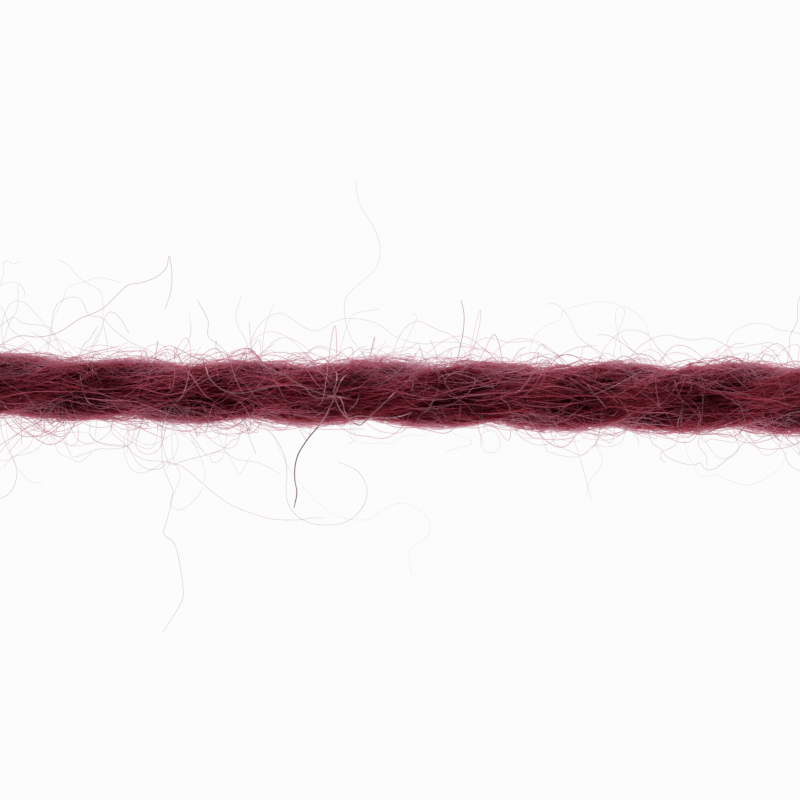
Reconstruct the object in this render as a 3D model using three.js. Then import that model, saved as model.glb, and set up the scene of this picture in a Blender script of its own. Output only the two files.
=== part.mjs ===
// A short, straight cut of three-ply wool yarn that lies on a flat surface.
// Millimetres, +Z up, the strand along X. Its three plies wind round each other like a left-hand screw,
// so that from above their grooves rise to the right, and its underside has small flat spots.
import * as THREE from "three";

// Driving dimensions
const CUT_LENGTH = 40;         // from cut end to cut end
const PLIES = 3;
const TWIST_PITCH = 14.6;      // length of one full turn of the plies
const PLY_RADIUS = 0.65;       // one fluffy ply, as a round
const PLY_OFFSET = 0.66;       // from the strand's centre line to a ply's own centre
const GROOVE_FILL = 0.88;      // loose wool fills the grooves out to about here from the centre line
const FILL_BLEND = 8;          // how sharply a ply's round meets that filling
const CREST_LEAN = -1;         // degrees from straight up, of the crest that faces up at X = 0
const FLAT_DEPTH = 0.11;       // how much of a crest is pressed flat where it rests

// How finely the faces follow the form
const STEPS = 92;              // rings along the strand
const POINTS_PER_PLY = 12;     // points round each ply's share of a ring

// The cut ends, rounded a little: how much of the full section is left at each distance from the end
const END_ROWS = [
  { fromEnd: 0, share: 0.86 },
  { fromEnd: 0.15, share: 0.95 },
  { fromEnd: 0.45, share: 1 },
];

// The strand's route, at even steps of X from its left end. side is the centre line's place along Y, and
// girth is the thickness of the strand as a share of the dimensions above.
const ROUTE = [
  { x: -20, side: 0.34, girth: 1.01 },
  { x: -17.5, side: 0.32, girth: 1.01 },
  { x: -15, side: 0.29, girth: 0.99 },
  { x: -12.5, side: 0.2, girth: 0.96 },
  { x: -10, side: 0.13, girth: 0.95 },
  { x: -7.5, side: 0.11, girth: 0.96 },
  { x: -5, side: 0.08, girth: 0.95 },
  { x: -2.5, side: 0.04, girth: 0.97 },
  { x: 0, side: 0.01, girth: 0.98 },
  { x: 2.5, side: -0.01, girth: 1 },
  { x: 5, side: -0.06, girth: 1.02 },
  { x: 7.5, side: -0.08, girth: 1.04 },
  { x: 10, side: -0.11, girth: 1.05 },
  { x: 12.5, side: -0.13, girth: 1.07 },
  { x: 15, side: -0.15, girth: 1.11 },
  { x: 17.5, side: -0.17, girth: 1.12 },
  { x: 20, side: -0.18, girth: 1.12 },
];
const ROUTE_STEP = ROUTE[1].x - ROUTE[0].x;

// Wool is spun unevenly, so each ply is a little thick here and thin there.
const SWELLS = [
  { ply: 0, wave: 8.3, gain: 0.035, start: 0.6 },
  { ply: 1, wave: 11.7, gain: 0.04, start: 2.9 },
  { ply: 2, wave: 6.9, gain: 0.03, start: 4.4 },
];

const FULL_TURN = 2 * Math.PI;
const PLY_SHARE = FULL_TURN / PLIES;

// A smooth curve through one column of the route
function alongRoute(column, x) {
  const place = (x - ROUTE[0].x) / ROUTE_STEP;
  const row = Math.min(Math.max(Math.floor(place), 0), ROUTE.length - 2);
  const t = place - row;
  const value = (n) => ROUTE[Math.min(Math.max(n, 0), ROUTE.length - 1)][column];
  const [a, b, c, d] = [value(row - 1), value(row), value(row + 1), value(row + 2)];
  return b + 0.5 * t * (c - a + t * (2 * a - 5 * b + 4 * c - d + t * (3 * (b - c) + d - a)));
}

// What is left of the full section near a cut end
function endShare(x) {
  const fromEnd = CUT_LENGTH / 2 - Math.abs(x);
  for (let n = 1; n < END_ROWS.length; n += 1) {
    const [near, far] = [END_ROWS[n - 1], END_ROWS[n]];
    if (fromEnd < far.fromEnd) {
      const t = (fromEnd - near.fromEnd) / (far.fromEnd - near.fromEnd);
      return near.share + t * (far.share - near.share);
    }
  }
  return 1;
}

// The angle of a ply's crest at x, from straight up towards +Y
function crestAngle(ply, x) {
  return THREE.MathUtils.degToRad(CREST_LEAN) + FULL_TURN * (x / TWIST_PITCH + ply / PLIES);
}

// From the centre line to the strand's skin, at an angle from a ply's crest
function skinRadius(ply, offCrest, x) {
  const swell = SWELLS[ply];
  const radius = PLY_RADIUS * (1 + swell.gain * Math.sin(FULL_TURN * x / swell.wave + swell.start));
  const across = PLY_OFFSET * Math.sin(offCrest);
  const round = PLY_OFFSET * Math.cos(offCrest) + Math.sqrt(radius ** 2 - across ** 2);
  return (round ** FILL_BLEND + GROOVE_FILL ** FILL_BLEND) ** (1 / FILL_BLEND);
}

// The groove between a ply and the one before it, which both of their rounds reach
function grooveRadius(ply, x) {
  const before = (ply + PLIES - 1) % PLIES;
  return 0.5 * (skinRadius(ply, -PLY_SHARE / 2, x) + skinRadius(before, PLY_SHARE / 2, x));
}

// One ring of the skin: the grooves stay on the same points of every ring, and nothing is below Z = 0
function ringPoints(x) {
  const girth = alongRoute("girth", x);
  const side = alongRoute("side", x);
  const height = (PLY_OFFSET + PLY_RADIUS) * girth - FLAT_DEPTH;
  const points = [];
  for (let ply = 0; ply < PLIES; ply += 1) {
    for (let n = 0; n < POINTS_PER_PLY; n += 1) {
      const offCrest = PLY_SHARE * (n / POINTS_PER_PLY - 0.5);
      const radius = n === 0 ? grooveRadius(ply, x) : skinRadius(ply, offCrest, x);
      const out = girth * endShare(x) * radius;
      const angle = crestAngle(ply, x) + offCrest;
      points.push([x, side + out * Math.sin(angle), Math.max(0, height + out * Math.cos(angle))]);
    }
  }
  return { points, middle: [x, side, height] };
}

// Where the rings stand: even steps, and the rows of the rounded ends
function ringPlaces() {
  const inner = CUT_LENGTH / 2 - END_ROWS[END_ROWS.length - 1].fromEnd;
  const left = END_ROWS.slice(0, -1).map((row) => row.fromEnd - CUT_LENGTH / 2);
  const middle = Array.from({ length: STEPS + 1 }, (_, n) => inner * (2 * n / STEPS - 1));
  return [...left, ...middle, ...left.map((x) => -x).reverse()];
}

function strandGeometry() {
  const rings = ringPlaces().map(ringPoints);
  const round = PLIES * POINTS_PER_PLY;
  const positions = rings.flatMap((ring) => ring.points.flat());
  const faces = [];
  for (let ring = 0; ring < rings.length - 1; ring += 1) {
    for (let n = 0; n < round; n += 1) {
      const [here, next] = [ring * round + n, ring * round + (n + 1) % round];
      faces.push(here, here + round, next + round, here, next + round, next);
    }
  }
  const last = (rings.length - 1) * round;
  const leftMiddle = rings.length * round;
  const rightMiddle = leftMiddle + 1;
  positions.push(...rings[0].middle, ...rings[rings.length - 1].middle);
  for (let n = 0; n < round; n += 1) {
    const next = (n + 1) % round;
    faces.push(leftMiddle, n, next);
    faces.push(rightMiddle, last + next, last + n);
  }
  const geometry = new THREE.BufferGeometry();
  geometry.setAttribute("position", new THREE.Float32BufferAttribute(positions, 3));
  geometry.setIndex(faces);
  geometry.computeVertexNormals();
  return geometry;
}

function woolMaterial() {
  return new THREE.MeshStandardMaterial({ color: 0x5a222b, roughness: 0.95, metalness: 0 });
}

const strand = new THREE.Mesh(strandGeometry(), woolMaterial());
strand.name = "yarn_strand";

const yarn = new THREE.Group();
yarn.add(strand);

export default yarn;
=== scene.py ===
import math

import bpy
import numpy as np
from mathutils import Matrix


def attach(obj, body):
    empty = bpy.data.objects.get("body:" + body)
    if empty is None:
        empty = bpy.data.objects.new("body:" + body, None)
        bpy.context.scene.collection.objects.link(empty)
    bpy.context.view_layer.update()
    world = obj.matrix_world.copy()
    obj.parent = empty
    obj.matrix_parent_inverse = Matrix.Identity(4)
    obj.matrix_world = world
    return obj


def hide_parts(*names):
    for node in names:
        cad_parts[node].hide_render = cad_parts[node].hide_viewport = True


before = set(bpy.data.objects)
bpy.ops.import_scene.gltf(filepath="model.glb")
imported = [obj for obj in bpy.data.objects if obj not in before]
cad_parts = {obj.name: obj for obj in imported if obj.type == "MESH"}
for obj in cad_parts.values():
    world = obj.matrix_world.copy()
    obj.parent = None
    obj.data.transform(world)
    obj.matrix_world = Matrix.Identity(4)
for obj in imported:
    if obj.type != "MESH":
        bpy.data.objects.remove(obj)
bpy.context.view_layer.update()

MM = 0.001
FULL_TURN = 2 * math.pi

# The strand's own form, as in the part's source
CUT_LENGTH = 40 * MM
PLIES = 3
TWIST_PITCH = 14.6 * MM
PLY_RADIUS = 0.65 * MM
PLY_OFFSET = 0.66 * MM
CREST_LEAN = math.radians(-1)
FLAT_DEPTH = 0.11 * MM
CORD_POINTS = 81

# The strand's route: X, the centre line's place along Y, and the thickness as a share of the form above
ROUTE = np.array([
    (-0.0200, 0.00034, 1.01),
    (-0.0175, 0.00032, 1.01),
    (-0.0150, 0.00029, 0.99),
    (-0.0125, 0.00020, 0.96),
    (-0.0100, 0.00013, 0.95),
    (-0.0075, 0.00011, 0.96),
    (-0.0050, 0.00008, 0.95),
    (-0.0025, 0.00004, 0.97),
    (0.0000, 0.00001, 0.98),
    (0.0025, -0.00001, 1.00),
    (0.0050, -0.00006, 1.02),
    (0.0075, -0.00008, 1.04),
    (0.0100, -0.00011, 1.05),
    (0.0125, -0.00013, 1.07),
    (0.0150, -0.00015, 1.11),
    (0.0175, -0.00017, 1.12),
    (0.0200, -0.00018, 1.12),
])
ROUTE_STEP = ROUTE[1, 0] - ROUTE[0, 0]
SIDE, GIRTH = 1, 2

# Each ply's own swelling along its length: wave, gain, start
SWELLS = np.array([
    (8.3 * MM, 0.035, 0.6),
    (11.7 * MM, 0.040, 2.9),
    (6.9 * MM, 0.030, 4.4),
])

# Wool fibres
FIBRE_RADIUS = 0.011 * MM
HAIR_RADIUS = 0.014 * MM
FIBRE_SIDES = 3
FLOOR_GAP = 0.02 * MM
FLOOR_BEND = 0.03 * MM
SKIN_DIP = 0.15 * MM
BAKE_MAP = "OFBake"
MAP_ROW, MAP_EDGE = 0.012, 0.01


def along_route(column, x):
    """A smooth curve through one column of the route."""
    place = (np.asarray(x, float) - ROUTE[0, 0]) / ROUTE_STEP
    row = np.clip(np.floor(place).astype(int), 0, len(ROUTE) - 2)
    t = place - row

    def value(n):
        return ROUTE[np.clip(n, 0, len(ROUTE) - 1), column]

    a, b, c, d = value(row - 1), value(row), value(row + 1), value(row + 2)
    return b + 0.5 * t * (c - a + t * (2 * a - 5 * b + 4 * c - d + t * (3 * (b - c) + d - a)))


def centre_height(x):
    return (PLY_OFFSET + PLY_RADIUS) * along_route(GIRTH, x) - FLAT_DEPTH


def crest_angle(ply, x):
    """The angle of a ply's crest at x, from straight up towards +Y."""
    return CREST_LEAN + FULL_TURN * (x / TWIST_PITCH + ply / PLIES)


def ply_radius(ply, x):
    wave, gain, start = np.moveaxis(SWELLS[ply], -1, 0)
    return PLY_RADIUS * (1 + gain * np.sin(FULL_TURN * x / wave + start))


def smooth_skin(angle, x):
    """The skin without the sharp bottoms of its grooves, for wool that lies over them."""
    lobes = np.cos(PLIES * (angle - crest_angle(0, x)))
    return PLY_OFFSET + PLY_RADIUS - SKIN_DIP * (1 - lobes)


def off_floor(points, gap=FLOOR_GAP):
    """Points below the floor's surface are lifted onto it, with a soft bend where they meet it."""
    above = points[..., 2] - gap
    points[..., 2] = gap + 0.5 * (above + np.sqrt(above**2 + FLOOR_BEND**2))
    return points


def round_strand(x, angle, radius):
    """Points at a distance from the strand's centre line, at an angle from straight up."""
    y = along_route(SIDE, x) + radius * np.sin(angle)
    z = centre_height(x) + radius * np.cos(angle)
    return off_floor(np.stack([x, y, z], -1))


def round_ply(ply, x, angle, radius):
    """Points at a distance from a ply's own centre line, at an angle from its crest."""
    crest = crest_angle(ply, x)
    girth = along_route(GIRTH, x)
    y = along_route(SIDE, x) + girth * (PLY_OFFSET * np.sin(crest) + radius * np.sin(crest + angle))
    z = centre_height(x) + girth * (PLY_OFFSET * np.cos(crest) + radius * np.cos(crest + angle))
    return off_floor(np.stack([x, y, z], -1))


def through(knots, count):
    """Smooth curves through knots, of shape (curves, knots, 3), with count points each."""
    last = knots.shape[1] - 1
    place = np.linspace(0, last, count)
    row = np.minimum(place.astype(int), last - 1)
    t = (place - row)[None, :, None]
    a, b, c, d = (knots[:, np.clip(row + n, 0, last)] for n in (-1, 0, 1, 2))
    return b + 0.5 * t * (c - a + t * (2 * a - 5 * b + 4 * c - d + t * (3 * (b - c) + d - a)))


def unit(vectors):
    return vectors / np.maximum(np.linalg.norm(vectors, axis=-1, keepdims=True), 1e-12)


def turned_frames(paths):
    """Two directions square to each path, carried along it without twisting."""
    along = np.empty_like(paths)
    along[:, 1:-1] = paths[:, 2:] - paths[:, :-2]
    along[:, 0] = paths[:, 1] - paths[:, 0]
    along[:, -1] = paths[:, -1] - paths[:, -2]
    along = unit(along)
    first = np.cross(along[:, 0], (0.3, 0.5, 0.8))
    across = np.empty_like(paths)
    across[:, 0] = unit(first)
    for n in range(1, paths.shape[1]):
        before = across[:, n - 1]
        lean = (before * along[:, n]).sum(-1, keepdims=True)
        across[:, n] = unit(before - lean * along[:, n])
    return across, np.cross(along, across)


class Wool:
    """Fibres as thin closed tubes, gathered into one mesh.

    A fibre's shade is its row in the wool's colours, from 0 for the deepest to 1 for the palest.
    """

    def __init__(self):
        self.points, self.faces, self.places, self.count = [], [], [], 0

    def add(self, paths, radii, shades):
        fibres, steps, _ = paths.shape
        across, up = turned_frames(paths)
        turn = FULL_TURN * np.arange(FIBRE_SIDES) / FIBRE_SIDES
        ring = across[:, :, None] * np.cos(turn)[:, None] + up[:, :, None] * np.sin(turn)[:, None]
        points = paths[:, :, None] + ring * radii[..., None, None]
        first = self.count + np.arange(fibres) * steps * FIBRE_SIDES
        self.count += points.size // 3
        self.points.append(points.reshape(-1, 3))
        step, side = np.meshgrid(np.arange(steps - 1), np.arange(FIBRE_SIDES), indexing="ij")
        here = (step * FIBRE_SIDES + side).ravel()
        beside = (step * FIBRE_SIDES + (side + 1) % FIBRE_SIDES).ravel()
        wall = np.stack([here, beside, beside + FIBRE_SIDES, here + FIBRE_SIDES], -1)
        ends = np.array([(0, 2, 1), (0, 1, 2)])
        ends[1] += (steps - 1) * FIBRE_SIDES
        self.faces += (first[:, None, None] + wall).reshape(-1, 4).tolist()
        self.faces += (first[:, None, None] + ends).reshape(-1, 3).tolist()
        self.places.append(self.map_places(steps, step.ravel(), side.ravel(), shades))

    @staticmethod
    def map_places(steps, step, side, shades):
        """Where each face lies in the wool's colours: along the fibre, and across its row."""
        row, edge = MAP_ROW, MAP_EDGE
        shades = np.broadcast_to(shades.reshape(len(shades), -1), (len(shades), steps))
        low = edge + shades * (1 - 2 * edge - row)
        near, far = (edge + (1 - 2 * edge) * (step + n) / (steps - 1) for n in (0, 1))
        under, over = row * side / FIBRE_SIDES, row * (side + 1) / FIBRE_SIDES
        wall_u = np.broadcast_to(np.stack([near, near, far, far], -1), (len(shades), len(step), 4))
        here, after = low[:, step], low[:, step + 1]
        wall_v = np.stack([here + under, here + over, after + over, after + under], -1)
        end_u = np.broadcast_to([(0, 0, edge), (1 - edge, 1 - edge, 1)], (len(shades), 2, 3))
        end_v = low[:, [0, -1], None] + np.array([0, row, row / 2])
        walls, ends = np.stack([wall_u, wall_v], -1), np.stack([end_u, end_v], -1)
        return np.concatenate([walls.reshape(-1, 2), ends.reshape(-1, 2)])

    def piece(self, name, material):
        points, places = np.concatenate(self.points), np.concatenate(self.places)
        return mesh_piece(name, points, self.faces, material, places)


def mesh_piece(name, points, faces, material, places=None):
    mesh = bpy.data.meshes.new(name)
    mesh.from_pydata(points, [], faces)
    if places is None:
        mesh.shade_smooth()
    else:
        mesh.uv_layers.new(name=BAKE_MAP).uv.foreach_set("vector", places.astype(np.float32).ravel())
    mesh.materials.append(material)
    piece = bpy.data.objects.new(name, mesh)
    bpy.context.scene.collection.objects.link(piece)
    return piece


def waves(random, fibres, x, table):
    """A sum of sine waves with a row of the table for each: shortest, longest, least and most height."""
    total = np.zeros_like(x)
    for shortest, longest, least, most in table:
        wave = random.uniform(shortest, longest, (fibres, 1))
        start = random.uniform(0, FULL_TURN, (fibres, 1))
        total += random.uniform(least, most, (fibres, 1)) * np.sin(FULL_TURN * x / wave + start)
    return total


def tapered(random, paths, radius, spread, tip=0.45, tip_share=0.12):
    """Fibre radii along each path, thinner towards both tips."""
    fibres, steps, _ = paths.shape
    base = radius * np.exp(random.normal(0, spread, (fibres, 1)))
    place = np.linspace(0, 1, steps)
    ends = np.minimum(place, 1 - place) / tip_share
    return base * (tip + (1 - tip) * np.clip(ends, 0, 1))


# The camera: a long lens straight above, with the photo's frame 32 mm wide at the strand's height
PIXEL = 0.04 * MM
FRAME_PIXELS = 800
CAMERA_HEIGHT = 0.25
CAMERA_CLIP = (0.005, 5)
SENSOR_WIDTH = 36
CENTRE_ABOVE_FRAME_CENTRE = 5.2 * PIXEL
FOCUS_HEIGHT = 1.2 * MM


def add_camera():
    lens = bpy.data.cameras.new("camera")
    lens.sensor_width = SENSOR_WIDTH
    lens.lens = SENSOR_WIDTH * (CAMERA_HEIGHT - FOCUS_HEIGHT) / (FRAME_PIXELS * PIXEL)
    lens.clip_start, lens.clip_end = CAMERA_CLIP
    camera = bpy.data.objects.new("camera", lens)
    camera.location = (0, along_route(SIDE, 0) - CENTRE_ABOVE_FRAME_CENTRE, CAMERA_HEIGHT)
    bpy.context.scene.collection.objects.link(camera)
    bpy.context.scene.camera = camera


def seen_at(across, down, height):
    """The point at a height that shows at a pixel of the photo's frame."""
    camera_y = along_route(SIDE, 0) - CENTRE_ABOVE_FRAME_CENTRE
    scale = PIXEL * (CAMERA_HEIGHT - height) / (CAMERA_HEIGHT - FOCUS_HEIGHT)
    middle = FRAME_PIXELS / 2
    return (across - middle) * scale, camera_y + (middle - down) * scale, height


# Wool colours, from the darkest, which the grooves' painted shade reaches, to pale stray hairs: place in the
# ramp, the colour of the light that a fibre lets through, and the colour of the light that it throws back
WOOL_COLOURS = [
    (0.00, (0.40, 0.110, 0.145), (0.25, 0.050, 0.068)),
    (0.20, (0.61, 0.175, 0.240), (0.40, 0.078, 0.110)),
    (0.40, (0.86, 0.320, 0.410), (0.62, 0.160, 0.210)),
    (0.55, (1.00, 0.580, 0.690), (0.94, 0.340, 0.430)),
    (0.65, (1.00, 0.740, 0.840), (1.00, 0.500, 0.590)),
    (0.72, (0.96, 0.740, 0.800), (0.86, 0.520, 0.600)),
    (0.80, (0.83, 0.690, 0.730), (0.45, 0.300, 0.340)),
    (0.90, (0.90, 0.835, 0.855), (0.60, 0.500, 0.530)),
    (1.00, (0.89, 0.870, 0.880), (0.65, 0.600, 0.620)),
]
CORE_COLOUR = (0.64, 0.135, 0.180)
THROUGH_SHARE = 0.98
TOP_HAIR_THROUGH_SHARE = 0.15

# How often the dye turns lighter and darker, along a fibre and from row to row, then in the core along the
# strand and across it, and how far it goes each way
DYE_PATCHES = (9, 140, 1)
CORE_STREAKS = (2500, 18000, 18000)
DYE_RANGE = (0.85, 1.05)
CORE_DYE_RANGE = (0.35, 1.3)


def shader(tree, kind, **values):
    node = tree.nodes.new(kind)
    for name, value in values.items():
        setattr(node, name, value)
    return node


def colour_ramp(tree, colours):
    ramp = shader(tree, "ShaderNodeValToRGB")
    stops = ramp.color_ramp.elements
    while len(stops) < len(colours):
        stops.new(0.5)
    for stop, (where, colour) in zip(stops, colours):
        stop.position = where
        stop.color = (*colour, 1)
    return ramp


def wool_material(name, through_share):
    """Dyed wool: colour by the fibre's row and along the fibre, and light that passes through it."""
    material = bpy.data.materials.new(name)
    material.use_nodes = True
    tree = material.node_tree
    tree.nodes.clear()
    link = tree.links.new
    place = shader(tree, "ShaderNodeUVMap", uv_map=BAKE_MAP)
    parts = shader(tree, "ShaderNodeSeparateXYZ")
    stretch = shader(tree, "ShaderNodeVectorMath", operation="MULTIPLY")
    stretch.inputs[1].default_value = DYE_PATCHES
    patches = shader(tree, "ShaderNodeTexNoise")
    patches.inputs["Scale"].default_value = 1
    patches.inputs["Detail"].default_value = 2
    dye = shader(tree, "ShaderNodeMapRange")
    dye.inputs["From Min"].default_value, dye.inputs["From Max"].default_value = 0.25, 0.75
    dye.inputs["To Min"].default_value, dye.inputs["To Max"].default_value = DYE_RANGE
    back = shader(tree, "ShaderNodeBsdfPrincipled")
    back.inputs["Roughness"].default_value = 0.5
    back.inputs["Specular IOR Level"].default_value = 0.2
    through_it = shader(tree, "ShaderNodeBsdfTranslucent")
    mix = shader(tree, "ShaderNodeMixShader")
    mix.inputs[0].default_value = through_share
    output = shader(tree, "ShaderNodeOutputMaterial")
    link(place.outputs["UV"], parts.inputs[0])
    link(place.outputs["UV"], stretch.inputs[0])
    link(stretch.outputs[0], patches.inputs["Vector"])
    link(patches.outputs["Fac"], dye.inputs["Value"])
    for bsdf, socket, column in ((through_it, "Color", 1), (back, "Base Color", 2)):
        ramp = colour_ramp(tree, [(row[0], row[column]) for row in WOOL_COLOURS])
        tint = shader(tree, "ShaderNodeVectorMath", operation="SCALE")
        link(parts.outputs["Y"], ramp.inputs["Fac"])
        link(ramp.outputs["Color"], tint.inputs[0])
        link(dye.outputs["Result"], tint.inputs["Scale"])
        link(tint.outputs[0], bsdf.inputs[socket])
    link(back.outputs[0], mix.inputs[1])
    link(through_it.outputs[0], mix.inputs[2])
    link(mix.outputs[0], output.inputs["Surface"])
    return material


def core_material():
    """The tightly packed inside of the plies: streaky, deep and matt."""
    material = bpy.data.materials.new("wool_core")
    material.use_nodes = True
    tree = material.node_tree
    matt = tree.nodes["Principled BSDF"]
    matt.inputs["Roughness"].default_value = 0.95
    matt.inputs["Specular IOR Level"].default_value = 0.1
    where = shader(tree, "ShaderNodeTexCoord")
    stretch = shader(tree, "ShaderNodeVectorMath", operation="MULTIPLY")
    stretch.inputs[1].default_value = CORE_STREAKS
    streaks = shader(tree, "ShaderNodeTexNoise")
    streaks.inputs["Scale"].default_value = 1
    streaks.inputs["Detail"].default_value = 3
    depth = shader(tree, "ShaderNodeMapRange")
    depth.inputs["From Min"].default_value, depth.inputs["From Max"].default_value = 0.3, 0.7
    depth.inputs["To Min"].default_value, depth.inputs["To Max"].default_value = CORE_DYE_RANGE
    tint = shader(tree, "ShaderNodeVectorMath", operation="SCALE")
    tint.inputs[0].default_value = CORE_COLOUR
    link = tree.links.new
    link(where.outputs["Object"], stretch.inputs[0])
    link(stretch.outputs[0], streaks.inputs["Vector"])
    link(streaks.outputs["Fac"], depth.inputs["Value"])
    link(depth.outputs["Result"], tint.inputs["Scale"])
    link(tint.outputs[0], matt.inputs["Base Color"])
    return material


# The core: the strand's own form without its loose outer wool
CORE_PLY_OFFSET = 0.60 * MM
CORE_PLY_RADIUS = 0.54 * MM
CORE_END_GAP = 0.45 * MM
CORE_LENGTH = CUT_LENGTH - 2 * CORE_END_GAP
CORE_RINGS = 161
CORE_POINTS = 48


def make_core(material):
    x = np.linspace(-CORE_LENGTH / 2, CORE_LENGTH / 2, CORE_RINGS)[:, None]
    share = FULL_TURN / PLIES
    turn = FULL_TURN * np.arange(CORE_POINTS) / CORE_POINTS
    off_crest = np.mod(turn + share / 2, share) - share / 2
    across = CORE_PLY_OFFSET * np.sin(off_crest)
    arch = CORE_PLY_OFFSET * np.cos(off_crest) + np.sqrt(CORE_PLY_RADIUS**2 - across**2)
    rings = round_strand(
        np.broadcast_to(x, (CORE_RINGS, CORE_POINTS)),
        crest_angle(0, x) + turn,
        along_route(GIRTH, x) * arch,
    )
    middles = round_strand(x[[0, -1], 0], np.zeros(2), np.zeros(2))
    points = np.concatenate([rings.reshape(-1, 3), middles])
    ring, n = np.meshgrid(np.arange(CORE_RINGS - 1), np.arange(CORE_POINTS), indexing="ij")
    here = (ring * CORE_POINTS + n).ravel()
    beside = (ring * CORE_POINTS + (n + 1) % CORE_POINTS).ravel()
    faces = np.stack([here, here + CORE_POINTS, beside + CORE_POINTS, beside], -1).tolist()
    last, left, right = (CORE_RINGS - 1) * CORE_POINTS, len(points) - 2, len(points) - 1
    for n in range(CORE_POINTS):
        after = (n + 1) % CORE_POINTS
        faces.append((left, n, after))
        faces.append((right, last + after, last + n))
    return mesh_piece("strand_core", points, faces, material)


# Fibres that lie along each ply, in layers from the inside out. depth is a share of the ply's own radius,
# and stray is the share of the fibres that run by themselves, apart from the locks.
# The layers' shades run darker towards the inside, as painted shade of the packed wool
PLY_LAYERS = [
    {"count": 600, "steps": 16, "depth": 0.80, "shades": (0.17, 0.25), "stray": 0.3},
    {"count": 480, "steps": 19, "depth": 0.88, "shades": (0.18, 0.30), "stray": 0.5},
    {"count": 260, "steps": 22, "depth": 0.96, "shades": (0.22, 0.36), "stray": 0.6},
    {"count": 150, "steps": 23, "depth": 1.04, "shades": (0.26, 0.48), "stray": 0.8},
    {"count": 80, "steps": 23, "depth": 1.12, "shades": (0.34, 0.56), "stray": 0.9},
]
PLY_SEED = 100
LOCKS = 45
FIBRE_LENGTHS = (2.5 * MM, 6 * MM)
SHORTEST_FIBRE = 1 * MM
ALONG_SPREAD = 2 * MM
END_RAGGED = 0.6 * MM
THICKNESS_SPREAD = 0.2

# Round the ply: how far a lock may lie from the crest, and the fibres' turns for each turn of the plies
LOCK_REACH, ROUND_SPREAD = 2.1, 0.25
TURNS, TURNS_SPREAD = -1.4, 0.8

# Waves: shortest, longest, least and most height, in radians round the ply or as a share of its radius
LOCK_RIPPLES = (1.4 * MM, 2.8 * MM, 0.04, 0.22)
LOCK_SWINGS = (3.5 * MM, 7 * MM, 0.1, 0.35)
LOCK_STEP_SPREAD, LOCK_HEIGHT_RANGE = 0.5, (0.6, 1.4)
FIBRE_RIPPLES = [(1.0 * MM, 2.0 * MM, 0.03, 0.18)]
DEPTH_RIPPLES = [(1.2 * MM, 3 * MM, 0.01, 0.08)]
DEPTH_SPREAD = 0.035
TIP_DIVE, TIP_DIVE_POWER = 0.16, 6

# Shades: painted shade, darker in the grooves, and painted light, paler at the strand's sides, standing in
# for light through loose wool
SHADE_SPREAD, PALEST_SHADE = 0.05, 0.65
PAINTED_GROOVE_SHADE, GROOVE_START = 0.3, 0.6
PAINTED_RIM_LIGHT, PALEST_WITH_PAINTED_RIM_LIGHT = 0.36, 0.68
RIM_START, RIM_WIDTH = 0.9 * MM, 0.4 * MM


def locks_of_wool(random, fibres, stray):
    """Which lock each fibre belongs to; a stray one has a lock of its own."""
    lock = random.integers(0, LOCKS, fibres)
    alone = random.random(fibres) < stray
    lock[alone] = LOCKS + np.arange(alone.sum())
    return lock, LOCKS + alone.sum()


def lock_waves(random, lock, locks, x, table_row):
    """Sine waves that the fibres of a lock share, each a little out of step."""
    shortest, longest, least, most = table_row
    fibres = len(lock)
    wave = random.uniform(shortest, longest, (locks, 1))[lock]
    start = random.uniform(0, FULL_TURN, (locks, 1))[lock] + random.normal(0, LOCK_STEP_SPREAD, (fibres, 1))
    height = random.uniform(least, most, (locks, 1))[lock] * random.uniform(*LOCK_HEIGHT_RANGE, (fibres, 1))
    return height * np.sin(FULL_TURN * x / wave + start)


def fibre_stretches(random, layer, lock, locks):
    """Where each fibre's middle is, the points along it, and which fibres are long enough to keep."""
    fibres = layer["count"]
    middle = random.uniform(-CUT_LENGTH / 2, CUT_LENGTH / 2, (locks, 1))[lock]
    middle += random.normal(0, ALONG_SPREAD, (fibres, 1))
    reach = random.uniform(*FIBRE_LENGTHS, (fibres, 1)) / 2
    limit = CUT_LENGTH / 2 - random.uniform(0, END_RAGGED, (fibres, 1))
    left, right = np.maximum(middle - reach, -limit), np.minimum(middle + reach, limit)
    place = np.linspace(0, 1, layer["steps"])
    return middle, left + (right - left) * place, (right - left)[:, 0] > SHORTEST_FIBRE


def fibre_angles(random, lock, locks, x, middle):
    """How far round its ply each point of a fibre lies, from the ply's crest."""
    fibres = len(lock)
    turns = random.normal(TURNS, TURNS_SPREAD, (locks, 1))[lock]
    turns += random.normal(0, TURNS_SPREAD, (fibres, 1))
    angle = random.uniform(-LOCK_REACH, LOCK_REACH, (locks, 1))[lock]
    angle += random.normal(0, ROUND_SPREAD, (fibres, 1))
    angle = angle + turns * (x - middle) * FULL_TURN / TWIST_PITCH
    angle += lock_waves(random, lock, locks, x, LOCK_RIPPLES)
    angle += waves(random, fibres, x, FIBRE_RIPPLES)
    angle += lock_waves(random, lock, locks, x, LOCK_SWINGS)
    return angle


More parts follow.
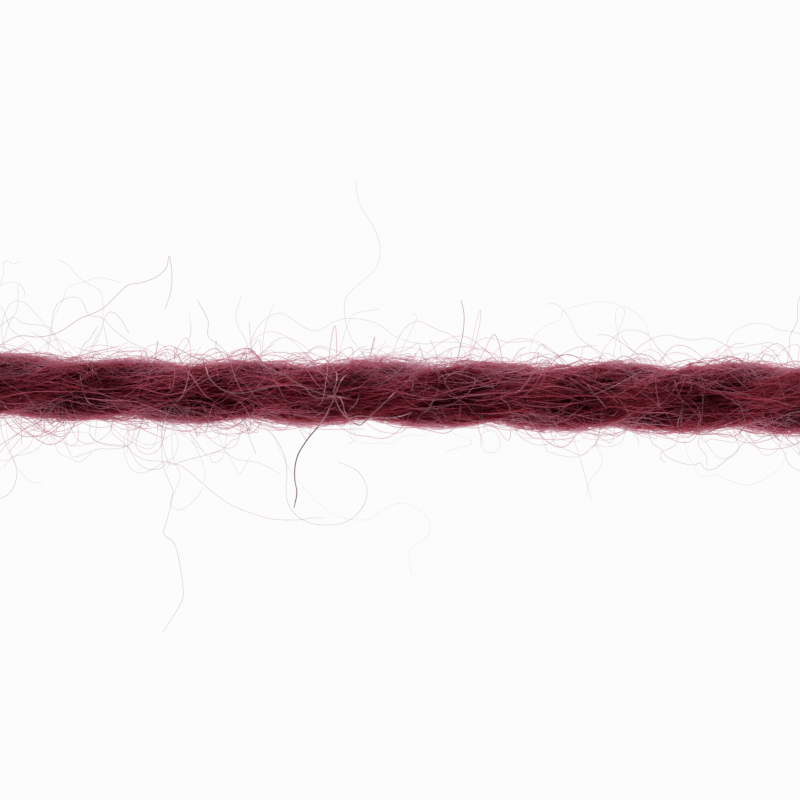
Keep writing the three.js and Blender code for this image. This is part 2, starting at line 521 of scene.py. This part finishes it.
def make_ply(ply, material):
    random = np.random.default_rng(PLY_SEED + ply)
    wool = Wool()
    for layer in PLY_LAYERS:
        fibres = layer["count"]
        lock, locks = locks_of_wool(random, fibres, layer["stray"])
        middle, x, kept = fibre_stretches(random, layer, lock, locks)
        angle = fibre_angles(random, lock, locks, x, middle)
        place = np.linspace(0, 1, layer["steps"])
        dive = TIP_DIVE * (2 * np.abs(place - 0.5)) ** TIP_DIVE_POWER
        weave = waves(random, fibres, x, DEPTH_RIPPLES)
        depth = layer["depth"] + random.normal(0, DEPTH_SPREAD, (fibres, 1)) + weave - dive
        paths = round_ply(ply, x, angle, depth * ply_radius(ply, x))[kept]
        shade = random.uniform(*layer["shades"], (locks, 1))[lock]
        shade += random.normal(0, SHADE_SPREAD, (fibres, 1))
        # Painted shade: a fibre's points turn darker where they pass down into the grooves between the plies
        painted_shade_in_groove = np.clip((GROOVE_START - np.cos(angle)) / GROOVE_START, 0, 1)
        shade = np.clip(np.clip(shade, 0, PALEST_SHADE) - PAINTED_GROOVE_SHADE * painted_shade_in_groove, 0, 1)[kept]
        # Painted light: points far to the strand's sides turn paler, standing in for light coming through
        # the loose wool at its edges
        aside = np.abs(paths[..., 1] - along_route(SIDE, x)[kept]) / along_route(GIRTH, x)[kept]
        shade += PAINTED_RIM_LIGHT * np.clip((aside - RIM_START) / RIM_WIDTH, 0, 1)
        radii = tapered(random, paths, FIBRE_RADIUS, THICKNESS_SPREAD)
        wool.add(paths, radii, np.clip(shade, 0, PALEST_WITH_PAINTED_RIM_LIGHT))
    return wool.piece(f"ply_fibres_{ply + 1}", material)


# Fuzz. above and below say how much loose wool stands off the strand at each of the places along it, beside
# its upper and its lower edge in the picture. spread and bend are a fibre's first heading and its curl.
FUZZ_PLACES = np.array([-14, -10, -6, -2, 2, 6, 10, 14]) * MM
LOW_FUZZ = {
    "count": 1100,
    "steps": 15,
    "length": (1.5 * MM, 4.5 * MM),
    "spread": 0.45,
    "bend": 0.25 / MM,
    "rise": 0.22 * MM,
    "radius": FIBRE_RADIUS,
    "shades": (0.24, 0.42),
    "painted_side_light": 0.30,
    "above": [1.0, 0.8, 0.9, 1.0, 1.0, 0.9, 0.85, 0.85],
    "below": [0.45, 0.4, 0.55, 0.15, 0.12, 0.5, 0.4, 0.4],
}
HIGH_FUZZ = {
    "count": 800,
    "steps": 28,
    "length": (2 * MM, 5 * MM),
    "spread": 0.8,
    "bend": 0.7 / MM,
    "rise": 0.40 * MM,
    "radius": 0.75 * FIBRE_RADIUS,
    "shades": (0.36, 0.50),
    "painted_side_light": 0.22,
    "above": [0.5, 0.4, 1.0, 1.0, 0.9, 0.4, 0.45, 0.4],
    "below": [0.6, 0.5, 0.4, 0.0, 0.0, 0.12, 0.15, 0.3],
}
FUZZ_SEED = 7
FUZZ_END_GAP = 1 * MM
FUZZ_SINK = 0.06 * MM
FUZZ_FREE_SHARE = 0.35
FUZZ_THICKNESS_SPREAD = 0.25
FUZZ_SWINGS = [(2 * MM, 5 * MM, 0.1, 0.7)]
FUZZ_RIPPLES = [(1 * MM, 3 * MM, 0.0, 0.04 * MM)]
LEAST_BESIDE = 0.25


def fuzz_roots(random, kind):
    """Places on the strand's skin, thinned out where the photo shows less fuzz."""
    count = kind["count"]
    tries = 6 * count
    x = random.uniform(-CUT_LENGTH / 2 + FUZZ_END_GAP, CUT_LENGTH / 2 - FUZZ_END_GAP, tries)
    angle = random.uniform(-math.pi, math.pi, tries)
    above = np.interp(x, FUZZ_PLACES, kind["above"])
    below = np.interp(x, FUZZ_PLACES, kind["below"])
    upward = np.clip(0.5 + np.sin(angle), 0, 1)
    wanted = random.random(tries) < below + (above - below) * upward
    return x[wanted][:count, None], angle[wanted][:count, None]


def curls(random, kind):
    """Loose fibres that leave the strand and curl over its skin, and how far beside its top each starts."""
    count = kind["count"]
    x, angle = fuzz_roots(random, kind)
    length = random.uniform(*kind["length"], (count, 1))
    place = np.linspace(0, 1, kind["steps"])
    gone = length * place
    beside = LEAST_BESIDE + (1 - LEAST_BESIDE) * np.sin(angle) ** 2
    heading = random.normal(0, kind["spread"], (count, 1))
    heading = heading + random.normal(0, kind["bend"], (count, 1)) * gone
    heading += waves(random, count, gone, FUZZ_SWINGS)
    heading *= beside
    stride = length / (kind["steps"] - 1)
    along = np.cumsum(np.cos(heading), axis=1) * stride
    around = np.cumsum(np.sin(heading), axis=1) * stride
    x = x + along - along.mean(axis=1, keepdims=True)
    x -= np.maximum(0, x.max(axis=1, keepdims=True) - CUT_LENGTH / 2)
    x += np.maximum(0, -CUT_LENGTH / 2 - x.min(axis=1, keepdims=True))
    angle = angle + (around - around.mean(axis=1, keepdims=True)) / (PLY_OFFSET + PLY_RADIUS)
    height = random.exponential(kind["rise"], (count, 1))
    free = random.random((count, 1)) < FUZZ_FREE_SHARE
    arch = np.where(free, place**1.3, np.sin(math.pi * place))
    out = height * arch - FUZZ_SINK + waves(random, count, gone, FUZZ_RIPPLES)
    return round_strand(x, angle, along_route(GIRTH, x) * smooth_skin(angle, x) + out), beside[:, 0]


def make_fuzz(material):
    random = np.random.default_rng(FUZZ_SEED)
    pieces = []
    for name, kind in (("low_fuzz_1", LOW_FUZZ), ("low_fuzz_2", LOW_FUZZ), ("high_fuzz", HIGH_FUZZ)):
        wool = Wool()
        paths, beside = curls(random, kind)
        # Painted light: fuzz that starts further beside the strand's top is paler, standing in for light
        # through the loose wool at the sides
        shades = random.uniform(*kind["shades"], len(paths)) + kind["painted_side_light"] * beside
        wool.add(paths, tapered(random, paths, kind["radius"], FUZZ_THICKNESS_SPREAD), shades)
        pieces.append(wool.piece(name, material))
    return pieces


# Kinds of stray hair: the row in the wool's colours, and the thickness as a share of HAIR_RADIUS
ROSE = (0.72, 0.60)
STRONG = (0.76, 0.92)
DARK = (0.80, 0.60)
DARKEST = (0.79, 1.30)
MAUVE = (0.90, 0.45)
FAINT = (1.00, 0.42)
FAINTEST = (1.00, 0.28)
STAR = (0.61, 1.95)
OVER = (0.60, 0.85)
PALE_OVER = (0.66, 0.75)

# The longest stray hairs, listed: the kind, how far it rides above the strand's skin in millimetres, and the
# pixels of the photo that it passes. Every hair starts inside the strand.
UPPER_LEFT_HAIRS = [
    (STRONG, 0.3, [(-30, 366), (-14, 352), (0, 345), (19, 336), (38, 337), (54, 334), (66, 328), (79, 319),
                   (89, 315), (100, 310), (108, 304), (117, 295), (128, 285), (140, 283), (156, 277),
                   (166, 268), (169, 256), (171, 264), (172, 276), (171, 291), (165, 309)]),
    (ROSE, 0.5, [(46, 362), (49, 345), (52, 329), (52, 319), (56, 306), (63, 300), (73, 297), (80, 299),
                 (84, 305), (89, 315), (102, 318), (110, 326), (119, 334), (130, 342), (144, 348),
                 (159, 355), (170, 356), (179, 354), (185, 348), (190, 337), (191, 327), (189, 312)]),
    (ROSE, 0.2, [(80, 368), (92, 350), (100, 334), (103, 322), (107, 314), (112, 312), (119, 317),
                 (125, 326), (129, 334)]),
    (FAINT, 0.8, [(44, 364), (48, 340), (54, 318), (63, 300), (66, 290), (73, 285), (84, 282), (96, 278),
                  (108, 279), (122, 283)]),
    (FAINT, 0.9, [(108, 366), (107, 342), (103, 322), (103, 305), (100, 291), (89, 284), (78, 277),
                  (69, 266), (57, 259)]),
    (MAUVE, 0.4, [(-22, 364), (-14, 330), (-6, 302), (1, 282), (4, 271), (3, 264), (7, 261), (13, 264),
                  (20, 261)]),
    (MAUVE, 0.6, [(-34, 364), (-28, 325), (-16, 298), (0, 286), (10, 282), (19, 284), (24, 290), (24, 297)]),
    (MAUVE, 0.5, [(2, 364), (4, 340), (11, 319), (16, 313), (18, 301), (18, 285)]),
    (MAUVE, 0.3, [(12, 364), (3, 342), (2, 324), (6, 311), (10, 304), (17, 301), (26, 304), (36, 314),
                  (45, 325), (54, 336), (60, 352), (62, 364)]),
    (MAUVE, 0.2, [(44, 366), (34, 348), (26, 341), (18, 335), (10, 328), (6, 317), (0, 306), (-12, 300)]),
    (ROSE, 0.4, [(-16, 364), (-6, 334), (12, 318), (23, 323), (38, 325), (50, 328), (58, 340), (72, 364)]),
    (ROSE, 0.1, [(64, 368), (80, 354), (89, 347), (102, 345), (115, 348), (128, 355), (138, 368)]),
    (DARK, 0.1, [(74, 370), (83, 346), (89, 340), (94, 332), (98, 326)]),
    (ROSE, 0.1, [(132, 368), (142, 354), (147, 347), (156, 344), (162, 345), (168, 352), (174, 368)]),
    (DARK, 0.2, [(244, 372), (230, 357), (220, 346), (208, 336), (208, 320), (197, 300)]),
]
UPPER_MIDDLE_HAIRS = [
    (MAUVE, 0.6, [(370, 366), (360, 350), (350, 336), (345, 318), (345, 301), (352, 290), (366, 278),
                  (376, 268), (380, 254), (379, 241), (372, 224), (362, 209), (357, 194), (356, 179)]),
    (DARKEST, 0.1, [(455, 370), (459, 352), (463, 332), (464, 315), (461, 300)]),
    (MAUVE, 0.7, [(258, 372), (252, 350), (253, 336), (262, 322), (275, 314), (284, 314), (296, 322),
                  (310, 330), (320, 330), (330, 324), (343, 319), (359, 319), (373, 322), (384, 328),
                  (391, 334), (401, 339), (412, 342), (426, 344), (441, 342), (460, 343), (475, 348),
                  (486, 366)]),
    (ROSE, 0.2, [(390, 370), (394, 350), (399, 337), (407, 326), (417, 321), (426, 324), (438, 330),
                 (449, 334), (460, 343), (470, 364)]),
    (FAINT, 0.5, [(338, 368), (342, 342), (350, 319), (357, 313), (366, 311), (379, 309)]),
    (DARK, 0.1, [(414, 372), (420, 361), (422, 354), (419, 346)]),
    (DARK, 0.1, [(436, 372), (437, 360), (435, 350), (430, 340)]),
    (MAUVE, 0.3, [(398, 368), (402, 350), (408, 337), (413, 326), (417, 317), (412, 313)]),
    (MAUVE, 0.4, [(252, 370), (247, 344), (239, 328), (236, 314), (242, 295)]),
    (DARK, 0.1, [(250, 372), (251, 350), (249, 322)]),
    (MAUVE, 0.4, [(262, 370), (263, 340), (268, 318), (274, 304)]),
    (ROSE, 0.1, [(296, 370), (304, 356), (312, 349), (322, 348), (330, 352), (338, 366)]),
    (ROSE, 0.1, [(304, 368), (308, 354), (318, 346), (334, 350), (346, 356), (356, 370)]),
]
UPPER_RIGHT_HAIRS = [
    (ROSE, 0.2, [(464, 370), (468, 358), (472, 349), (478, 341), (486, 338), (496, 339), (506, 342),
                 (518, 342), (530, 341), (540, 345), (550, 351), (560, 356), (572, 370)]),
    (MAUVE, 0.3, [(616, 370), (602, 354), (583, 341), (576, 333), (571, 321), (562, 309), (555, 304),
                  (546, 304)]),
    (FAINTEST, 1.0, [(530, 368), (531, 345), (541, 329), (560, 319), (562, 312), (570, 308), (582, 305),
                     (595, 302), (606, 302), (623, 306), (636, 313), (646, 325), (650, 342), (652, 366)]),
    (FAINT, 0.6, [(622, 366), (620, 344), (616, 324), (616, 311), (620, 307), (625, 311), (622, 322),
                  (617, 336), (612, 364)]),
    (ROSE, 0.2, [(594, 370), (601, 355), (606, 346), (614, 337), (623, 331), (633, 330), (643, 332),
                 (650, 337), (659, 349), (669, 358), (684, 370)]),
    (ROSE, 0.4, [(626, 370), (632, 356), (638, 348), (646, 342), (656, 337), (668, 335), (681, 338),
                 (693, 340), (706, 338), (716, 340), (726, 345), (736, 348), (747, 346), (759, 344),
                 (772, 343), (786, 352), (796, 368)]),
    (MAUVE, 0.5, [(722, 370), (725, 356), (727, 344), (730, 336), (736, 330), (747, 325), (757, 323),
                  (769, 325), (779, 330), (794, 332), (812, 340), (822, 366)]),
    (ROSE, 0.2, [(690, 372), (702, 358), (709, 354), (719, 349), (726, 345), (732, 352), (740, 370)]),
    (DARK, 0.3, [(786, 370), (789, 350), (790, 336), (797, 322), (798, 302), (804, 290)]),
    (ROSE, 0.2, [(784, 370), (775, 353), (764, 346), (762, 350), (764, 355), (773, 357), (780, 370)]),
    (ROSE, 0.1, [(528, 368), (540, 345), (548, 350), (558, 356), (568, 370)]),
    (ROSE, 0.2, [(578, 370), (582, 353), (583, 348), (590, 347), (598, 354), (606, 370)]),
    (ROSE, 0.2, [(656, 372), (647, 357), (636, 353), (626, 346), (614, 338), (606, 335), (597, 335)]),
    (ROSE, 0.1, [(644, 372), (638, 356), (630, 348), (621, 336)]),
]
LOWER_LEFT_HAIRS = [
    (DARK, 0.1, [(-4, 402), (0, 422), (3, 437), (8, 449), (15, 464), (17, 475), (13, 488), (6, 496),
                 (-6, 500)]),
    (FAINT, 0.2, [(4, 404), (8, 440), (15, 462), (24, 476), (32, 482), (42, 483)]),
    (STRONG, 0.1, [(58, 402), (40, 421), (27, 428), (14, 436), (0, 445), (-16, 452)]),
    (ROSE, 0.1, [(52, 402), (36, 420), (18, 434), (6, 445), (0, 453), (-10, 462)]),
    (MAUVE, 0.2, [(-30, 402), (-16, 440), (0, 460), (16, 456), (32, 452), (41, 445), (46, 438), (54, 435),
                  (67, 433), (80, 432), (89, 434), (96, 441), (105, 445), (115, 446), (127, 446),
                  (136, 438), (141, 424), (140, 404)]),
    (ROSE, 0.1, [(40, 402), (41, 421), (42, 428), (48, 433), (54, 434), (64, 441), (68, 449), (73, 457),
                 (84, 454), (99, 449), (112, 449), (127, 446), (134, 434), (138, 404)]),
    (FAINT, 0.2, [(50, 402), (53, 425), (54, 438), (56, 447), (60, 454), (68, 457), (80, 462), (92, 452)]),
    (ROSE, 0.1, [(90, 402), (90, 424), (90, 434), (94, 440), (102, 443), (115, 445), (127, 446),
                 (134, 454), (146, 460), (158, 461), (171, 463), (183, 467), (202, 483), (215, 494),
                 (231, 505), (251, 513), (272, 519), (296, 520), (311, 518), (325, 518)]),
    (ROSE, 0.1, [(112, 402), (112, 421), (112, 432), (118, 438), (127, 446), (132, 454), (139, 464),
                 (148, 469), (159, 469), (168, 462)]),
    (MAUVE, 0.2, [(128, 404), (132, 427), (126, 434), (124, 447), (126, 459), (132, 470), (142, 473),
                  (151, 470), (161, 464), (172, 458)]),
    (DARK, 0.2, [(168, 400), (163, 424), (162, 440), (162, 456), (164, 469), (169, 481), (173, 492),
                 (171, 505), (167, 520), (164, 534), (174, 543), (179, 560), (183, 588), (181, 603),
                 (163, 632)]),
    (MAUVE, 0.1, [(170, 402), (174, 428), (178, 441), (176, 453), (171, 461), (166, 470)]),
    (MAUVE, 0.2, [(176, 404), (172, 436), (173, 458), (178, 468), (180, 478), (175, 491), (172, 496),
                  (171, 505), (178, 510), (188, 506), (198, 496), (203, 487)]),
    (FAINT, 0.3, [(186, 402), (190, 432), (196, 448), (202, 461), (205, 472), (204, 485)]),
    (ROSE, 0.1, [(192, 404), (197, 424), (203, 430), (209, 438), (222, 447), (233, 447), (239, 437),
                 (244, 404)]),
    (ROSE, 0.1, [(160, 402), (162, 440), (170, 464), (183, 461), (206, 455), (223, 449), (231, 441),
                 (241, 434), (248, 404)]),
    (FAINT, 0.2, [(214, 404), (220, 440), (228, 454), (236, 469), (240, 474), (244, 468), (250, 456)]),
    (MAUVE, 0.1, [(230, 404), (226, 440), (223, 456), (217, 462), (211, 461), (212, 454), (223, 452),
                  (236, 459), (248, 461), (262, 464), (280, 474)]),
    (MAUVE, 0.2, [(120, 402), (128, 432), (139, 442), (151, 445), (161, 441), (171, 435), (177, 433),
                  (185, 436), (196, 446), (202, 449)]),
    (ROSE, 0.1, [(64, 402), (70, 424), (76, 438), (88, 444), (100, 440), (110, 430), (118, 404)]),
    (MAUVE, 0.1, [(62, 404), (66, 440), (74, 446), (92, 442), (96, 430), (98, 404)]),
    (ROSE, 0.1, [(146, 404), (140, 430), (136, 446), (146, 454), (158, 450), (164, 436), (170, 404)]),
]
LOWER_MIDDLE_HAIRS = [
    (DARK, 0.2, [(238, 404), (254, 420), (272, 434), (283, 452), (287, 471), (286, 487), (288, 503),
                 (296, 515), (310, 523), (328, 525), (346, 522), (360, 511), (367, 496), (365, 482),
                 (356, 470), (338, 462)]),
    (DARK, 0.1, [(240, 404), (247, 428), (251, 442), (256, 454)]),
    (FAINTEST, 0.2, [(260, 404), (290, 470), (330, 512), (366, 520), (382, 510), (400, 503), (416, 508),
                     (430, 522), (426, 538), (412, 548), (409, 562), (413, 578)]),
    (MAUVE, 0.1, [(352, 404), (351, 424), (350, 436), (354, 441), (348, 444)]),
    (FAINT, 0.1, [(474, 404), (484, 428), (481, 436), (481, 446), (487, 452), (495, 452), (500, 445),
                  (498, 435), (491, 430), (484, 433)]),
    (ROSE, 0.1, [(510, 404), (517, 432), (527, 441), (538, 445), (550, 443), (556, 434), (560, 404)]),
    (FAINTEST, 0.1, [(440, 404), (452, 432), (463, 437), (471, 441), (470, 445), (458, 448), (444, 452)]),
    (FAINTEST, 0.1, [(352, 404), (355, 437), (363, 443), (381, 443), (392, 443), (401, 437), (413, 435),
                     (427, 433), (440, 404)]),
]
LOWER_RIGHT_HAIRS = [
    (ROSE, 0.1, [(548, 404), (553, 440), (562, 447), (572, 452), (582, 455), (591, 448), (597, 441),
                 (606, 404)]),
    (MAUVE, 0.1, [(532, 404), (545, 447), (553, 453), (563, 456), (577, 457), (586, 453), (595, 445),
                  (606, 447), (615, 445), (623, 439), (632, 404)]),
    (FAINT, 0.2, [(590, 404), (598, 449), (602, 456), (601, 466), (593, 477), (588, 485), (587, 496)]),
    (DARK, 0.1, [(624, 406), (633, 432), (637, 437), (639, 444)]),
    (DARK, 0.2, [(642, 406), (651, 440), (655, 445), (662, 450), (666, 456), (676, 461), (686, 464),
                 (694, 465), (700, 463), (704, 468), (709, 470), (716, 468), (726, 460), (736, 453),
                 (739, 446), (736, 438), (726, 406)]),
    (ROSE, 0.1, [(684, 408), (677, 440), (674, 446), (666, 450), (661, 453), (661, 459), (666, 463)]),
    (ROSE, 0.1, [(698, 408), (699, 437), (699, 446), (706, 456), (707, 466)]),
    (FAINTEST, 0.3, [(680, 408), (686, 450), (694, 465), (699, 476), (716, 475), (731, 481), (746, 485),
                     (761, 481), (776, 471), (784, 461), (788, 440), (790, 410)]),
    (ROSE, 0.1, [(734, 408), (746, 433), (754, 443), (765, 455), (779, 447), (790, 410)]),
    (ROSE, 0.2, [(760, 408), (772, 438), (780, 446), (785, 454), (789, 464), (800, 471), (816, 474)]),
    (ROSE, 0.1, [(770, 410), (780, 442), (792, 444), (804, 443), (820, 436)]),
    (ROSE, 0.0, [(694, 410), (702, 440), (712, 439), (724, 441), (737, 440), (746, 412)]),
]
HAIRS_OVER_THE_STRAND = [
    (STAR, 0.7, [(352, 372), (345, 376), (340, 383), (337, 390), (333, 401), (329, 409), (325, 417),
                 (318, 427), (311, 435), (305, 443), (298, 455), (295, 468), (295, 480), (297, 493),
                 (294, 508)]),
    (STAR, 0.7, [(252, 360), (259, 363), (274, 371), (282, 374), (295, 382), (305, 388), (310, 394),
                 (316, 398), (324, 398), (340, 397), (352, 400)]),
    (STAR, 0.6, [(203, 360), (206, 368), (210, 379), (221, 389), (234, 393), (250, 392), (265, 388),
                 (280, 386), (295, 385), (306, 388), (316, 392), (330, 396), (342, 396)]),
    (STAR, 0.8, [(336, 366), (337, 377), (336, 384), (334, 392), (337, 403), (342, 412), (348, 418),
                 (358, 416), (372, 417), (387, 418), (401, 416), (412, 412)]),
    (STAR, 0.8, [(333, 396), (340, 398), (343, 404), (345, 412), (350, 420), (360, 425), (370, 416),
                 (380, 407), (391, 396), (400, 388)]),
    (PALE_OVER, 0.3, [(223, 391), (240, 397), (251, 403), (254, 409), (251, 416), (242, 421)]),
    (OVER, 0.3, [(172, 423), (183, 414), (192, 412), (204, 416), (214, 426)]),
    (OVER, 0.3, [(176, 396), (170, 390), (171, 380), (179, 376), (186, 382), (185, 391), (178, 394)]),
    (OVER, 0.3, [(398, 403), (412, 408), (428, 409), (445, 407), (458, 401), (470, 391), (475, 382),
                 (472, 371)]),
    (PALE_OVER, 0.3, [(582, 378), (592, 391), (601, 401), (609, 412)]),
    (PALE_OVER, 0.3, [(670, 372), (675, 382), (678, 392), (682, 401), (682, 410), (678, 422), (678, 432)]),
    (OVER, 0.4, [(457, 397), (450, 390), (445, 382), (447, 377), (455, 372), (468, 373), (474, 378)]),
    (OVER, 0.4, [(440, 383), (438, 386), (436, 395), (429, 408), (424, 412)]),
    (OVER, 0.4, [(406, 377), (412, 382), (413, 394), (417, 394), (427, 389), (440, 385)]),
    (OVER, 0.4, [(502, 388), (502, 399), (507, 403), (510, 408), (510, 412), (518, 415), (526, 421),
                 (538, 429), (546, 434)]),
    (PALE_OVER, 0.4, [(476, 384), (487, 387), (496, 385), (499, 380)]),
    (PALE_OVER, 0.3, [(480, 406), (482, 413), (484, 424), (488, 430)]),
    (OVER, 0.4, [(162, 428), (166, 416), (173, 406), (184, 394), (194, 383), (206, 379)]),
    (PALE_OVER, 0.3, [(79, 366), (81, 380), (84, 393), (89, 403), (99, 403)]),
    (OVER, 0.4, [(564, 376), (578, 383), (594, 395), (602, 403), (610, 413)]),
    (PALE_OVER, 0.4, [(590, 396), (610, 388), (629, 378), (643, 370)]),
    (OVER, 0.3, [(577, 402), (577, 411), (568, 416), (560, 412)]),
    (OVER, 0.3, [(619, 401), (619, 408), (614, 415), (602, 417)]),
    (OVER, 0.3, [(686, 370), (690, 380), (691, 389), (685, 397)]),
    (OVER, 0.4, [(726, 396), (742, 408), (757, 421), (768, 426)]),
    (PALE_OVER, 0.4, [(344, 413), (350, 409), (356, 403), (359, 395), (361, 388)]),
    (PALE_OVER, 0.3, [(372, 385), (378, 384), (384, 382), (390, 378), (397, 376), (404, 377)]),
    (PALE_OVER, 0.3, [(462, 393), (472, 395), (483, 395), (494, 393)]),
]
HAIR_GROUPS = [
    UPPER_LEFT_HAIRS,
    UPPER_MIDDLE_HAIRS,
    UPPER_RIGHT_HAIRS,
    LOWER_LEFT_HAIRS,
    LOWER_MIDDLE_HAIRS,
    LOWER_RIGHT_HAIRS,
]
HAIR_SEED = 23
ROOT_LENGTH = 0.6 * MM
ROOT_DEPTH = 0.5 * MM
POINTS_PER_KNOT = 5
SWAY_WAVE = 6 * MM
SWAY_SHARE = 0.25
SWAY_REACH = 2 * MM
HAIR_TIP, HAIR_TIP_SHARE = 0.6, 0.05


def hair_path(seen, lift, wander):
    """A hair's path in space: on top of the strand where it crosses it, and at mid height beside it."""
    knots = np.array([seen], float)
    seen = through(knots, POINTS_PER_KNOT * (knots.shape[1] - 1) + 1)[0]
    x, y, _ = seen_at(seen[:, 0], seen[:, 1], FOCUS_HEIGHT)
    reach = (PLY_OFFSET + PLY_RADIUS) * along_route(GIRTH, x)
    beside = np.abs(y - along_route(SIDE, x))
    gone = np.concatenate([[0], np.cumsum(np.hypot(np.diff(x), np.diff(y)))])
    swing = np.clip(beside - reach, 0, SWAY_REACH)
    sway = np.sin(FULL_TURN * gone / SWAY_WAVE + wander) * swing * SWAY_SHARE
    height = centre_height(x) + np.sqrt(np.maximum(reach**2 - beside**2, 0)) + lift + sway
    left = np.minimum(gone, gone[-1] - gone + ROOT_LENGTH * (beside[-1] > reach[-1]))
    height -= (ROOT_DEPTH + lift) * np.clip(1 - left / ROOT_LENGTH, 0, 1)
    return off_floor(np.stack(seen_at(seen[:, 0], seen[:, 1], height), -1)[None])


def make_hairs(name, groups, material):
    random = np.random.default_rng(HAIR_SEED)
    wool = Wool()
    for group in groups:
        for (shade, thickness), lift, seen in group:
            path = hair_path(seen, lift * MM, random.uniform(0, FULL_TURN))
            radii = tapered(random, path, thickness * HAIR_RADIUS, 0.0, HAIR_TIP, HAIR_TIP_SHARE)
            wool.add(path, radii, np.array([shade]))
    return wool.piece(name, material)


# The cut ends: short stubs that fill each ply's section
END_SEED = 11
STUBS_PER_PLY = 130
STUB_STEPS = 4
STUB_REACH = 0.7 * MM
STUB_RAGGED = 0.12 * MM
STUB_RADIUS = 1.2 * HAIR_RADIUS
STUB_TIP = 0.9
STUB_OUTERMOST = 0.98
STUB_SHADES = (0.1, 0.6)


def make_cut_ends(material):
    random = np.random.default_rng(END_SEED)
    wool = Wool()
    each, every_point = (STUBS_PER_PLY, 1), (STUBS_PER_PLY, STUB_STEPS)
    place = np.linspace(0, 1, STUB_STEPS)
    for end in (-1, 1):
        for ply in range(PLIES):
            tip = CUT_LENGTH / 2 - random.exponential(STUB_RAGGED, each)
            x = end * (tip - STUB_REACH * (1 - place))
            angle = random.uniform(-math.pi, math.pi, each) + random.normal(0, 0.1, every_point)
            depth = STUB_OUTERMOST * np.sqrt(random.random(each)) + random.normal(0, 0.03, every_point)
            paths = round_ply(ply, x, angle, np.abs(depth) * ply_radius(ply, x))
            radii = tapered(random, paths, STUB_RADIUS, THICKNESS_SPREAD, tip=STUB_TIP)
            wool.add(paths, radii, random.uniform(*STUB_SHADES, STUBS_PER_PLY))
    return wool.piece("cut_ends", material)


# The glowing table, the ring of light at the horizon and the softbox
TABLE_HALF = 0.4
TABLE_COLOUR = (0.03, 0.03, 0.03, 1)
TABLE_GLOW = 0.968
HORIZON_LIGHT = (2.3, 2.3, 2.3, 1)
SKY_LIGHT = (0.025, 0.025, 0.025, 1)
SKY_START = 0.34
SOFTBOX_SIZE = 0.14
SOFTBOX_POWER = 0.014
SOFTBOX_PLACE = (-0.03, 0.16, 0.2)
SOFTBOX_TILT = math.radians(-40)


def make_floor():
    material = bpy.data.materials.new("table")
    material.use_nodes = True
    surface = material.node_tree.nodes["Principled BSDF"]
    surface.inputs["Base Color"].default_value = TABLE_COLOUR
    surface.inputs["Roughness"].default_value = 0.9
    surface.inputs["Specular IOR Level"].default_value = 0
    surface.inputs["Emission Color"].default_value = (1, 1, 1, 1)
    surface.inputs["Emission Strength"].default_value = TABLE_GLOW
    half = TABLE_HALF
    corners = [(-half, -half, 0), (half, -half, 0), (half, half, 0), (-half, half, 0)]
    floor = mesh_piece("table", corners, [(0, 1, 2, 3)], material)


def make_light():
    scene = bpy.context.scene
    scene.view_settings.view_transform = "Standard"
    world = bpy.data.worlds.new("studio")
    scene.world = world
    world.use_nodes = True
    tree = world.node_tree
    where = shader(tree, "ShaderNodeTexCoord")
    parts = shader(tree, "ShaderNodeSeparateXYZ")
    ramp = shader(tree, "ShaderNodeValToRGB")
    low, high = ramp.color_ramp.elements
    low.position, low.color = 0.0, HORIZON_LIGHT
    high.position, high.color = SKY_START, SKY_LIGHT
    link = tree.links.new
    link(where.outputs["Generated"], parts.inputs[0])
    link(parts.outputs["Z"], ramp.inputs["Fac"])
    link(ramp.outputs["Color"], tree.nodes["Background"].inputs["Color"])
    light = bpy.data.lights.new("softbox", "AREA")
    light.shape, light.size = "DISK", SOFTBOX_SIZE
    light.energy = SOFTBOX_POWER
    lamp = bpy.data.objects.new("softbox", light)
    lamp.location = SOFTBOX_PLACE
    lamp.rotation_euler = (SOFTBOX_TILT, 0, 0)
    scene.collection.objects.link(lamp)


add_camera()
CORE = core_material()
FIBRE = wool_material("wool_fibre", THROUGH_SHARE)
TOP_HAIR = wool_material("wool_top_hair", TOP_HAIR_THROUGH_SHARE)
core = make_core(CORE)
route_x = np.linspace(-CUT_LENGTH / 2, CUT_LENGTH / 2, CORD_POINTS)
route = np.stack([route_x, along_route(SIDE, route_x), centre_height(route_x)], -1)
loose = [make_ply(ply, FIBRE) for ply in range(PLIES)]
loose += make_fuzz(FIBRE)
loose.append(make_hairs("long_hairs", HAIR_GROUPS, FIBRE))
loose.append(make_hairs("top_hairs", [HAIRS_OVER_THE_STRAND], TOP_HAIR))
loose.append(make_cut_ends(FIBRE))
make_floor()
make_light()

for piece in [core, *loose]:
    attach(piece, "root")
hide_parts("yarn_strand")
